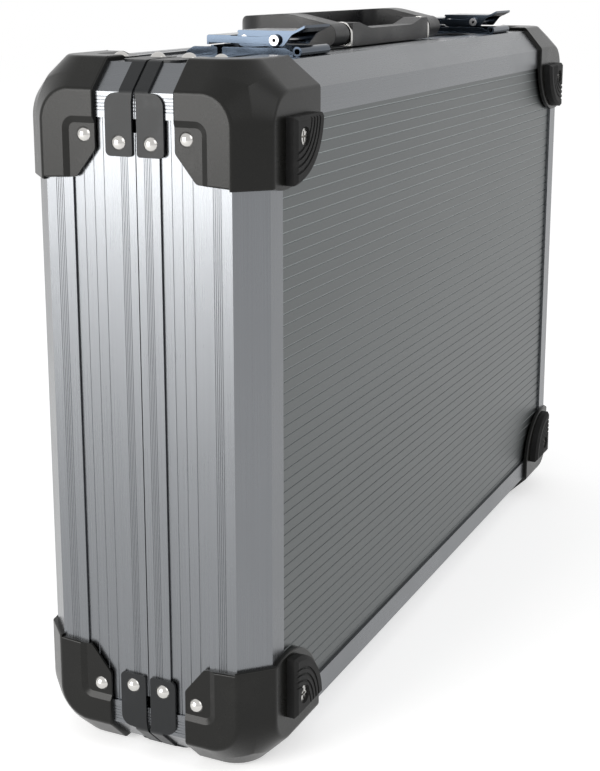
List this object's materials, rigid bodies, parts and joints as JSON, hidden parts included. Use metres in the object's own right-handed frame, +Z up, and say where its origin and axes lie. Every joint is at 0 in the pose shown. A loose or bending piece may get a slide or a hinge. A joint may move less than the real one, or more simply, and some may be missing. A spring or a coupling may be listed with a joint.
{
  "type": "hard shell attache case",
  "caption": "Hard attache case of framed aluminium: two hinged shells, steel corners, twin draw latches and a folding handle.",
  "frame": {"origin": "middle of the bounding box's base, which is the surface the closed case stands on", "axes": "+X along the case's length, +Y from the body shell towards the lid shell, +Z up from the hinge side to the handle side"},
  "size_m": [0.4868, 0.1304, 0.3508],
  "materials": {
    "anodised_frame": "satin silver anodised extrusion",
    "grooved_panel": "grooved and brushed, titanium grey anodised",
    "corner_steel": "satin black lacquer on pressed steel",
    "strap_steel": "satin black lacquer",
    "bright_fastener": "polished nickel plate",
    "foot_rubber": "matt moulded",
    "handle_moulding": "semi-gloss moulded",
    "pin_steel": "bright steel",
    "latch_nickel": "black nickel plate",
    "hinge_steel": "plated steel",
    "lining_foam": "matt lining foam"
  },
  "bodies": {
    "lid": {"hinge_lid_leaves": "hinge_steel", "latch_strikes": "latch_nickel", "lid_cap_bottom_left": "corner_steel", "lid_cap_bottom_right": "corner_steel", "lid_cap_top_left": "corner_steel", "lid_cap_top_right": "corner_steel", "lid_corner_posts": "anodised_frame", "lid_face_panel": "grooved_panel", "lid_floor_rivets": "bright_fastener", "lid_lining": "lining_foam", "lid_long_edges": "anodised_frame", "lid_long_rims": "anodised_frame", "lid_long_side_panels": "anodised_frame", "lid_rivets": "bright_fastener", "lid_short_edges": "anodised_frame", "lid_short_rims": "anodised_frame", "lid_short_side_panels": "anodised_frame", "lid_straps": "strap_steel", "stay_lid_anchors": "hinge_steel"},
    "handle": {"handle_grip": "handle_moulding"},
    "case_body": {"body_cap_bottom_left": "corner_steel", "body_cap_bottom_right": "corner_steel", "body_cap_top_left": "corner_steel", "body_cap_top_right": "corner_steel", "body_corner_posts": "anodised_frame", "body_face_panel": "grooved_panel", "body_floor_rivets": "bright_fastener", "body_lining": "lining_foam", "body_long_edges": "anodised_frame", "body_long_rims": "anodised_frame", "body_long_side_panels": "anodised_frame", "body_rivets": "bright_fastener", "body_short_edges": "anodised_frame", "body_short_rims": "anodised_frame", "body_short_side_panels": "anodised_frame", "body_straps": "strap_steel", "foot_bottom_left": "foot_rubber", "foot_bottom_right": "foot_rubber", "foot_screws": "bright_fastener", "foot_top_left": "foot_rubber", "foot_top_right": "foot_rubber", "handle_base": "handle_moulding", "handle_ears": "bright_fastener", "handle_pins": "pin_steel", "hinge_body_leaves": "hinge_steel", "hinge_pins": "pin_steel", "latch_base_left": "latch_nickel", "latch_base_right": "latch_nickel", "latch_lever_pins": "pin_steel", "stay_body_anchors": "hinge_steel"},
    "latch_lever_left": {"latch_lever_left": "latch_nickel", "latch_hook_pin_left": "pin_steel"},
    "latch_hook_left": {"latch_hook_left": "latch_nickel"},
    "stay_lower_left": {"stay_lower_left": "hinge_steel"},
    "stay_upper_left": {"stay_upper_left": "hinge_steel"},
    "latch_lever_right": {"latch_lever_right": "latch_nickel", "latch_hook_pin_right": "pin_steel"},
    "latch_hook_right": {"latch_hook_right": "latch_nickel"},
    "stay_lower_right": {"stay_lower_right": "hinge_steel"},
    "stay_upper_right": {"stay_upper_right": "hinge_steel"}
  },
  "joints": [
    {"name": "lid_hinge", "type": "hinge", "parent": "case_body", "child": "lid", "pos_m": [0, 0.00275, 0.0022], "axis": [-1, 0, 0], "range_deg": [0, 95]},
    {"name": "handle_fold", "type": "hinge", "parent": "case_body", "child": "handle", "pos_m": [0, -0.01625, 0.34], "axis": [1, 0, 0], "range_deg": [0, 95]},
    {"name": "latch_lever_left", "type": "hinge", "parent": "case_body", "child": "latch_lever_left", "pos_m": [0, -0.01025, 0.3414], "axis": [-1, 0, 0], "range_deg": [0, 100]},
    {"name": "latch_hook_left", "type": "hinge", "parent": "latch_lever_left", "child": "latch_hook_left", "pos_m": [0, -0.02725, 0.3409], "axis": [-1, 0, 0], "range_deg": [-100, 0]},
    {"name": "stay_lower_left", "type": "hinge", "parent": "case_body", "child": "stay_lower_left", "pos_m": [0, -0.01325, 0.0972], "axis": [-1, 0, 0], "range_deg": [0, 95]},
    {"name": "stay_upper_left", "type": "hinge", "parent": "stay_lower_left", "child": "stay_upper_left", "pos_m": [0, 0.00275, 0.1922], "axis": [-1, 0, 0], "range_deg": [-95, 0]},
    {"name": "latch_lever_right", "type": "hinge", "parent": "case_body", "child": "latch_lever_right", "pos_m": [0, -0.01025, 0.3414], "axis": [-1, 0, 0], "range_deg": [0, 100]},
    {"name": "latch_hook_right", "type": "hinge", "parent": "latch_lever_right", "child": "latch_hook_right", "pos_m": [0, -0.02725, 0.3409], "axis": [-1, 0, 0], "range_deg": [-100, 0]},
    {"name": "stay_lower_right", "type": "hinge", "parent": "case_body", "child": "stay_lower_right", "pos_m": [0, -0.01325, 0.0972], "axis": [-1, 0, 0], "range_deg": [0, 95]},
    {"name": "stay_upper_right", "type": "hinge", "parent": "stay_lower_right", "child": "stay_upper_right", "pos_m": [0, 0.00275, 0.1922], "axis": [-1, 0, 0], "range_deg": [-95, 0]}
  ],
  "couplings": [
    {"joint": "latch_hook_left", "follows": "latch_lever_left", "ratio": -1},
    {"joint": "stay_lower_left", "follows": "lid_hinge", "ratio": 1},
    {"joint": "stay_upper_left", "follows": "lid_hinge", "ratio": -1},
    {"joint": "latch_hook_right", "follows": "latch_lever_right", "ratio": -1},
    {"joint": "stay_lower_right", "follows": "lid_hinge", "ratio": 1},
    {"joint": "stay_upper_right", "follows": "lid_hinge", "ratio": -1}
  ]
}
